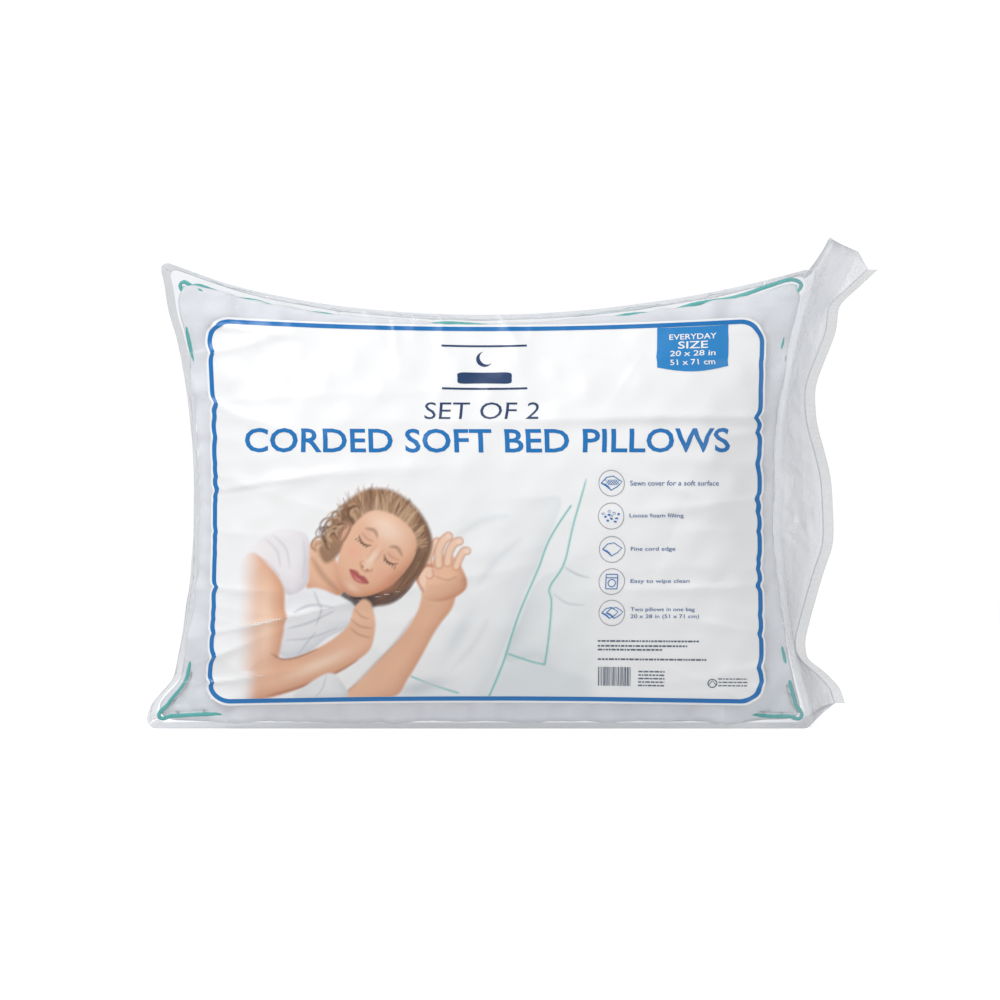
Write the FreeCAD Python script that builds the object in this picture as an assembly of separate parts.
"""Two filled bed pillows standing on their long edge in a gusseted, printed clear bag.

Frame: +X along the pillows' long edge, +Y from the printed front to the back, +Z up.
Origin: on the floor, under the middle of the pack's box. All sizes are millimetres.

Each pillow is a front and a back panel, and each panel is three layers quilted together: face
cloth, wadding and lining. A covered cord is sewn into the seam that joins the two panels, and
loose foam fills the inside. The bag is a front and a back sheet joined by gusset strips on three
sides. On the fourth side its empty end narrows to a flat heat seal.
"""

import FreeCAD
import Part
import math
import os

Vector = FreeCAD.Vector

# ---- the filled pillow, measured at its seam ----
SEAM_LENGTH = 672.0  # corner to corner along the long edge
SEAM_HEIGHT = 461.0  # corner to corner along the short edge
SIDE_BOW = 36.0  # how far each short edge pulls in between its corners
TOP_BOW = 47.0  # how far the upper long edge sags; the lower one lies straight on the floor
SEAM_CORNER_RADIUS = 16.0
OUTER_CROWN = 70.0  # rise of the panel that faces out of the pack
INNER_CROWN = 62.0  # rise of the panel that is pressed against the other pillow

# ---- the layers of a quilted panel ----
FACE_CLOTH = 0.4
WADDING = 5.0
WADDING_AT_SEAM = 0.8
LINING = 0.3
LAYER_GAP = 0.05  # clearance between two layers
SEAM_GAP = 0.15  # clearance between a lining and the seam plane
FILL_INSET = 9.0  # the loose fill stops this far inside the seam

# ---- the cord edge ----
CORD_CORE_RADIUS = 1.5
CORD_COVER = 0.9
CORE_CLEARANCE = 0.1
CORD_CLEARANCE = 0.3  # between the panels' edge and the cord

# ---- the sewn-in label, blank, lying along the left edge ----
LABEL_WIDTH = 48.0
LABEL_HEIGHT = 32.0
LABEL_THICKNESS = 0.4
LABEL_FOOT = 150.0  # height of its lower edge above the floor
LABEL_CLEARANCE = 0.2

# ---- the bag ----
FILM = 0.3
FILM_CLEARANCE = 1.0  # between the cord and the film
PILLOW_GAP = 0.8  # between the two pillows
WELD_GAP = 0.05  # between two pieces of film that are sealed together
SEAL_WIDTH = 10.0
EAR_RISE = 32.0  # the ridge of the upper fold, above the pillows' corners
FOOT_FOLD_RISE = 6.0  # the ridge of the lower fold, above the sheets' lower edges
FOLD_SHARE = 0.94  # half width of both folds, as a share of the sheets' distance from the middle

# ---- the print on the front sheet ----
INK = 0.1
INK_CLEARANCE = 0.05
PRINT_MARGIN_LEFT, PRINT_MARGIN_RIGHT = 8.0, 11.0  # from where the seam pulls in furthest
PRINT_MARGIN_FOOT, PRINT_MARGIN_TOP = 15.0, 6.0
PRINT_CORNER_RADIUS = 26.0
PRINT_WHITE_RIM = 2.2  # white ink that shows outside the coloured border
BORDER_WIDTH = 4.6
TAB_INSET = 39.0  # from the right of the white ink to the tab
TAB_WIDTH = 72.0
TAB_HEIGHT = 46.0

# ---- worked out from those ----
HALF_LENGTH = SEAM_LENGTH / 2
CORD_COVER_INNER_RADIUS = CORD_CORE_RADIUS + CORE_CLEARANCE
CORD_RADIUS = CORD_COVER_INNER_RADIUS + CORD_COVER
PANEL_AT_SEAM = FACE_CLOTH + WADDING_AT_SEAM + LINING + 2 * LAYER_GAP
PANEL_RISE = PANEL_AT_SEAM + SEAM_GAP  # the face cloth's height over the seam plane, at the seam
CORD_REACH = CORD_CLEARANCE + CORD_RADIUS  # from the panels' edge to the cord's middle
FILM_OUTLINE = CORD_REACH + CORD_RADIUS + FILM_CLEARANCE + FILM
FILM_RISE = CORD_RADIUS + FILM_CLEARANCE  # the front sheet's height over the seam plane
SEAM_FOOT = FILM_OUTLINE  # so that the film's outer face is on the floor
SEAM_TOP = SEAM_FOOT + SEAM_HEIGHT
SEAM_PLANE = PILLOW_GAP / 2 + PANEL_RISE + INNER_CROWN  # distance from the pack's middle plane
PRINT_LEFT = -HALF_LENGTH + SIDE_BOW + PRINT_MARGIN_LEFT
PRINT_RIGHT = HALF_LENGTH - SIDE_BOW - PRINT_MARGIN_RIGHT
PRINT_FOOT = SEAM_FOOT + PRINT_MARGIN_FOOT
PRINT_TOP = SEAM_TOP - TOP_BOW - PRINT_MARGIN_TOP
FAR = 2 * SEAM_LENGTH  # a reach that clears the whole pack

# Outer edge of the heat seal at the empty end, from its foot up: how far it stands out past the
# pillows' corners, and its share of the height from the floor to the seam's upper corners.
TAIL_EDGE = [
    (38.0, 0.05), (22.0, 0.13), (8.0, 0.20), (15.0, 0.31), (27.0, 0.42), (20.0, 0.60),
    (10.0, 0.74), (26.0, 0.87), (44.0, 0.95), (71.0, 1.02),
]

GRID_ALONG, GRID_UP = 17, 13  # points of a curved layer's grids
GRID_REACH = 1.02  # the grids reach a little past the outline that trims them
TAIL_ROWS, TAIL_COLUMNS = 25, 7
TAIL_STEEPNESS = 1.6  # how fast the tail's sheets draw together


def side_circle():
    """Centre and radius of the circle that the left short edge follows."""
    half = SEAM_HEIGHT / 2
    radius = (half**2 + SIDE_BOW**2) / (2 * SIDE_BOW)
    return Vector(-HALF_LENGTH + SIDE_BOW - radius, 0, SEAM_FOOT + half), radius


def top_circle():
    """Centre and radius of the circle that the upper long edge follows."""
    radius = (HALF_LENGTH**2 + TOP_BOW**2) / (2 * TOP_BOW)
    return Vector(0, 0, SEAM_TOP - TOP_BOW + radius), radius


def corner_centres():
    """Centres of the round corners at the upper left and the lower left."""
    side, side_radius = side_circle()
    top, top_radius = top_circle()
    a, b = side_radius + SEAM_CORNER_RADIUS, top_radius + SEAM_CORNER_RADIUS
    between = top - side
    along = (a**2 - b**2 + between.Length**2) / (2 * between.Length)
    across = math.sqrt(a**2 - along**2)
    unit = Vector(between).normalize()
    upper = side + unit * along + Vector(unit.z, 0, -unit.x) * across
    foot = SEAM_FOOT + SEAM_CORNER_RADIUS
    lower = Vector(side.x + math.sqrt(a**2 - (foot - side.z) ** 2), 0, foot)
    return upper, lower


def toward(start, end, distance):
    return start + Vector(end - start).normalize() * distance


def mirrored(point):
    return Vector(-point.x, point.y, point.z)


def outline_edges(grow):
    """The seam line moved outwards by grow, in the plane Y = 0: left, top, right and foot edges."""
    side, side_radius = side_circle()
    top, top_radius = top_circle()
    upper, lower = corner_centres()
    corner = SEAM_CORNER_RADIUS + grow
    side_low = toward(side, lower, side_radius - grow)
    side_high = toward(side, upper, side_radius - grow)
    side_middle = side + Vector(side_radius - grow, 0, 0)
    top_left = toward(top, upper, top_radius - grow)
    top_middle = top - Vector(0, 0, top_radius - grow)
    foot_left = lower - Vector(0, 0, corner)
    upper_middle = upper + Vector(side_high + top_left - upper * 2).normalize() * corner
    lower_middle = lower + Vector(side_low + foot_left - lower * 2).normalize() * corner
    arcs = [
        (foot_left, lower_middle, side_low),
        (side_low, side_middle, side_high),
        (side_high, upper_middle, top_left),
    ]
    left = [Part.Arc(*arc).toShape() for arc in arcs]
    right = [Part.Arc(*map(mirrored, arc)).toShape() for arc in arcs]
    top_edge = Part.Arc(top_left, top_middle, mirrored(top_left)).toShape()
    foot_edge = Part.LineSegment(foot_left, mirrored(foot_left)).toShape()
    return left, [top_edge], right, [foot_edge]


def closed_wire(edges):
    return Part.Wire(Part.__sortEdges__(edges))


def outline(grow):
    return closed_wire([edge for side in outline_edges(grow) for edge in side])


def half_width(z, grow):
    side, side_radius = side_circle()
    drop = min(abs(z - side.z), side_radius - grow)
    return -(side.x + math.sqrt((side_radius - grow) ** 2 - drop**2))


def top_height(x, grow):
    top, top_radius = top_circle()
    return top.z - math.sqrt((top_radius - grow) ** 2 - x**2)


def place(u, v, grow):
    """A point of the outline's own grid: u runs from -1 to 1 across it, v from its foot to its top."""
    x, foot = u * HALF_LENGTH, SEAM_FOOT - grow
    for _ in range(6):
        z = foot + (v + 1) / 2 * (top_height(x, grow) - foot)
        x = u * half_width(z, grow)
    return x, z


def crown(u, v):
    """Share of its full rise that a freely bulging panel has at a place of the grid."""
    return (1 - u**4) * (1 - v**2)


def pressed_crown(u, v):
    """The same for a panel that is pressed flat against another."""
    return (1 - u**6) * (1 - v**4)


def spaced(count):
    """Grid values from end to end, closer together towards both ends."""
    return [
        GRID_REACH * math.sin(math.pi / 2 * (2 * i / (count - 1) - 1)) for i in range(count)
    ]


def spline_surface(points):
    surface = Part.BSplineSurface()
    surface.interpolate(points)
    return surface


def border_edges(surface):
    u0, u1, v0, v1 = surface.bounds()
    curves = [surface.uIso(u0), surface.uIso(u1), surface.vIso(v0), surface.vIso(v1)]
    return [curve.toShape() for curve in curves]


def solid_between(points, other_points):
    """A closed solid between two smooth surfaces, each through a grid of the same shape."""
    surfaces = [spline_surface(points), spline_surface(other_points)]
    faces = [surface.toShape() for surface in surfaces]
    for edge, other_edge in zip(*map(border_edges, surfaces)):
        faces.append(Part.makeRuledSurface(edge, other_edge))
    shell = Part.makeShell(faces)
    shell.sewShape()
    solid = Part.makeSolid(shell)
    if solid.Volume < 0:
        solid.reverse()
    return solid


def prism(face):
    """A face in the plane Y = 0 carried through the whole depth of one pillow."""
    face = face.copy()
    face.translate(Vector(0, -FAR, 0))
    return face.extrude(Vector(0, 2 * FAR, 0))


def layer(outer_rise, inner_rise, grow, trim):
    """A curved layer between two rises over the seam plane, trimmed to the outline grown by trim."""
    outer, inner = [], []
    for u in spaced(GRID_ALONG):
        places = [(v, *place(u, v, grow)) for v in spaced(GRID_UP)]
        outer.append([Vector(x, outer_rise(u, v), z) for v, x, z in places])
        inner.append([Vector(x, inner_rise(u, v), z) for v, x, z in places])
    return solid_between(outer, inner).common(prism(Part.Face(outline(trim))))


def panel_layers(shape, rise):
    """Face cloth, wadding and lining of a panel that rises over the seam plane by rise times shape."""

    def face_top(u, v):
        return PANEL_RISE + rise * shape(u, v)

    def wadding_top(u, v):
        return face_top(u, v) - FACE_CLOTH - LAYER_GAP

    def wadding_foot(u, v):
        thickness = WADDING_AT_SEAM + (WADDING - WADDING_AT_SEAM) * shape(u, v)
        return wadding_top(u, v) - thickness

    def lining_top(u, v):
        return wadding_foot(u, v) - LAYER_GAP

    return {
        "face_cloth": layer(face_top, lambda u, v: face_top(u, v) - FACE_CLOTH, 0, 0),
        "wadding": layer(wadding_top, wadding_foot, 0, 0),
        "lining": layer(lining_top, lambda u, v: lining_top(u, v) - LINING, 0, 0),
    }


def fill_rise(shape, rise):
    """How high the loose fill reaches under a panel's lining."""
    foot = SEAM_GAP - LAYER_GAP
    return lambda u, v: foot + (rise - WADDING + WADDING_AT_SEAM) * shape(u, v)


def foam_fill():
    upper, lower = fill_rise(crown, OUTER_CROWN), fill_rise(pressed_crown, INNER_CROWN)
    return layer(upper, lambda u, v: -lower(u, v), 0, -FILL_INSET)


def rod_along_seam(radius):
    """A round rod that follows the seam outside the panels' edge."""
    path = outline(CORD_REACH)
    first = path.Edges[0]
    start, direction = first.valueAt(first.FirstParameter), first.tangentAt(first.FirstParameter)
    circle = Part.Wire(Part.makeCircle(radius, start, direction))
    return path.makePipeShell([circle], True, True)


def cord_pieces():
    return {
        "cord_cover": rod_along_seam(CORD_RADIUS).cut(rod_along_seam(CORD_COVER_INNER_RADIUS)),
        "cord_core": rod_along_seam(CORD_CORE_RADIUS),
    }


def band(edges, inner_edges):
    """The flat face between two chains of edges that run side by side."""
    chains = [closed_wire(edges), closed_wire(inner_edges)]
    ends = [[vertex.Point for vertex in chain.OrderedVertexes] for chain in chains]
    joins = [(ends[0][0], ends[1][0]), (ends[0][-1], ends[1][-1])]
    lines = [Part.LineSegment(*join).toShape() for join in joins]
    return Part.Face(closed_wire(chains[0].Edges + chains[1].Edges + lines))


def care_label():
    """A cloth label between the cord and the film, bent to the run of the left seam."""
    inner = CORD_REACH + CORD_RADIUS + LABEL_CLEARANCE
    left_side, inner_side = outline_edges(inner + LABEL_THICKNESS)[0], outline_edges(inner)[0]
    strip = band(left_side[1:2], inner_side[1:2])
    strip.translate(Vector(0, -LABEL_WIDTH, 0))
    slab = Part.makeBox(2 * FAR, 2 * FAR, LABEL_HEIGHT, Vector(-FAR, -FAR, LABEL_FOOT))
    return strip.extrude(Vector(0, LABEL_WIDTH, 0)).common(slab)


def pillow_pieces():
    """All pieces of one pillow, with its seam in the plane Y = 0 and its free panel towards +Y."""
    pieces = {}
    for name, solid in panel_layers(crown, OUTER_CROWN).items():
        pieces["outer_" + name] = solid
    for name, solid in panel_layers(pressed_crown, INNER_CROWN).items():
        pieces["inner_" + name] = flipped(solid)
    pieces["foam_fill"] = foam_fill()
    pieces.update(cord_pieces())
    pieces["care_label"] = care_label()
    return pieces


def flipped(solid):
    return solid.mirror(Vector(0, 0, 0), Vector(0, 1, 0))


def film_rise(offset):
    """The front sheet's inner face, or a face that lies offset further out."""
    return lambda u, v: FILM_RISE + OUTER_CROWN * crown(u, v) + offset


def rectangle(left, right, foot, top, radius):
    """A rectangle in the plane Y = 0, with round corners if radius isn't 0."""
    box = Part.makeBox(right - left, 1, top - foot, Vector(left, 0, foot))
    if radius:
        box = box.makeFillet(radius, [edge for edge in box.Edges if abs(edge.tangentAt(0).y) > 0.5])
    return min(box.Faces, key=lambda face: face.CenterOfMass.y)


def print_area(inset):
    radius = PRINT_CORNER_RADIUS - inset
    return prism(
        rectangle(
            PRINT_LEFT + inset, PRINT_RIGHT - inset, PRINT_FOOT + inset, PRINT_TOP - inset, radius
        )
    )


def print_pieces():
    """White ink, its coloured border and the size tab, each a thin skin on the front sheet."""
    white_foot = FILM + INK_CLEARANCE
    colour_foot = white_foot + INK + INK_CLEARANCE
    white = layer(film_rise(white_foot + INK), film_rise(white_foot), FILM_OUTLINE, 0)
    colour = layer(film_rise(colour_foot + INK), film_rise(colour_foot), FILM_OUTLINE, 0)
    border_inset = PRINT_WHITE_RIM + BORDER_WIDTH
    tab_top = PRINT_TOP - border_inset - INK_CLEARANCE
    tab_right = PRINT_RIGHT - TAB_INSET
    tab = rectangle(tab_right - TAB_WIDTH, tab_right, tab_top - TAB_HEIGHT, tab_top, 0)
    return {
        "print_white_base": white.common(print_area(0)),
        "print_border": colour.common(print_area(PRINT_WHITE_RIM)).cut(print_area(border_inset)),
        "print_size_tab": colour.common(prism(tab)),
    }


def gusset_pieces():
    """The strips that join the front and the back sheet at the left, the top and the foot."""
    reach = SEAM_PLANE + FILM_RISE - WELD_GAP
    outer, inner = outline_edges(FILM_OUTLINE), outline_edges(FILM_OUTLINE - FILM)
    pieces = {}
    for name, side in (("left", 0), ("top", 1), ("bottom", 3)):
        strip = band(outer[side], inner[side])
        strip.translate(Vector(0, -reach, 0))
        pieces[f"bag_{name}_gusset"] = strip.extrude(Vector(0, 2 * reach, 0))
    return pieces


def evenly_along(edges, count):
    """Points along a chain of edges, the same number on each, from its foot to its top."""
    points = []
    for edge in edges:
        run = edge.discretize(count)
        run = run if run[0].z < run[-1].z else run[::-1]
        points += run if not points else run[1:]
    return points


def tail_rows():
    """Pairs of points where the tail starts, at the bag's right edge, and where it meets the seal."""
    beside = Vector(WELD_GAP, 0, FILM + WELD_GAP)  # clear of the film, and of the fold below
    start = [point + beside for point in evenly_along(outline_edges(FILM_OUTLINE)[2], TAIL_ROWS)]
    curve = Part.BSplineCurve()
    curve.interpolate([Vector(HALF_LENGTH + x, 0, share * SEAM_TOP) for x, share in TAIL_EDGE])
    lengths = [0.0]
    for a, b in zip(start, start[1:]):
        lengths.append(lengths[-1] + (b - a).Length)
    first, last = curve.FirstParameter, curve.LastParameter
    seal = [curve.value(first + (last - first) * length / lengths[-1]) for length in lengths]
    return start, seal


def tail_sheet(side, start, seal):
    """One of the two sheets that close the empty end, from the bag's edge to the flat seal."""
    width = SEAM_PLANE + FILM_RISE
    grid = []
    for a, b in zip(start, seal):
        end = b - Vector(SEAL_WIDTH + WELD_GAP + FILM, 0, 0)
        row = []
        for j in range(TAIL_COLUMNS):
            t = j / (TAIL_COLUMNS - 1)
            point = a + (end - a) * t
            depth = FILM / 2 + (width - FILM / 2) * (1 - t) ** TAIL_STEEPNESS
            row.append(Vector(point.x, side * depth, point.z))
        grid.append(row)
    return grid


def shifted(grid, offset):
    return [[point + offset for point in row] for row in grid]


def tail_fold(edge, ridge_rise, lift):
    """A tented strip between the two tail sheets, over the run of their edge."""
    grid = []
    for j, point in enumerate(edge):
        t = j / (len(edge) - 1)
        row = []
        for side in (-1.0, -0.5, 0.0, 0.5, 1.0):
            height = point.z + lift + ridge_rise * math.sin(math.pi * t) * (1 - side**2)
            row.append(Vector(point.x, side * FOLD_SHARE * abs(point.y), height))
        grid.append(row)
    return grid


def tail_pieces():
    """The empty end of the bag: two sheets, the folds above and below them, and the flat seal."""
    start, seal = tail_rows()
    pieces = {}
    for name, side in (("front", -1), ("back", 1)):
        grid = tail_sheet(side, start, seal)
        outer = shifted(grid, Vector(FILM, side * FILM, 0))
        pieces[f"bag_tail_{name}"] = solid_between(outer, grid)
    foot_edge, *_, top_edge = tail_sheet(1, start, seal)
    top_grid = tail_fold(top_edge, EAR_RISE, WELD_GAP)
    foot_grid = tail_fold(foot_edge[:-1], FOOT_FOLD_RISE, -WELD_GAP - FILM)
    up = Vector(0, 0, FILM)
    pieces["bag_tail_top_fold"] = solid_between(shifted(top_grid, up), top_grid)
    pieces["bag_tail_foot_fold"] = solid_between(shifted(foot_grid, up), foot_grid)
    pieces["bag_end_seal"] = end_seal(seal)
    return pieces


def end_seal(seal):
    """The flat strip where the bag's two sheets are melted together."""
    half = Vector(0, FILM, 0)
    curves = []
    for inset in (SEAL_WIDTH, 0):
        curve = Part.BSplineCurve()
        curve.interpolate([point - half - Vector(inset, 0, 0) for point in seal])
        curves.append(curve.toShape())
    return Part.makeRuledSurface(*curves).extrude(half * 2)


def bag_pieces():
    sheet = layer(film_rise(FILM), film_rise(0), FILM_OUTLINE, FILM_OUTLINE)
    return {"bag_front_film": sheet, "bag_back_film": sheet.copy()}


def in_front(solid):
    """A piece that faces +Y, turned round and put at the front pillow's seam."""
    turned = flipped(solid)
    turned.translate(Vector(0, -SEAM_PLANE, 0))
    return turned


def at_back(solid):
    moved = solid.copy()
    moved.translate(Vector(0, SEAM_PLANE, 0))
    return moved


def whole_pack():
    nodes = {}
    for name, solid in pillow_pieces().items():
        nodes["front_pillow_" + name] = in_front(solid)
        nodes["back_pillow_" + name] = at_back(solid)
    for name, solid in {**bag_pieces(), **print_pieces()}.items():
        nodes[name] = at_back(solid) if name == "bag_back_film" else in_front(solid)
    nodes.update(gusset_pieces())
    nodes.update(tail_pieces())
    return nodes


def centred(nodes):
    """The same pieces with the middle of the pack's box at X = 0."""
    boxes = [solid.optimalBoundingBox(False, False) for solid in nodes.values()]
    left, right = min(box.XMin for box in boxes), max(box.XMax for box in boxes)
    for solid in nodes.values():
        solid.translate(Vector(-(left + right) / 2, 0, 0))
    return nodes


def main():
    os.makedirs("parts", exist_ok=True)
    for name, solid in centred(whole_pack()).items():
        volume = solid.Volume / 1000
        print(f"{name}: {len(solid.Solids)} solid, {volume:.1f} cm3, valid {solid.isValid()}")
        solid.exportStep(f"parts/{name}.step")


main()
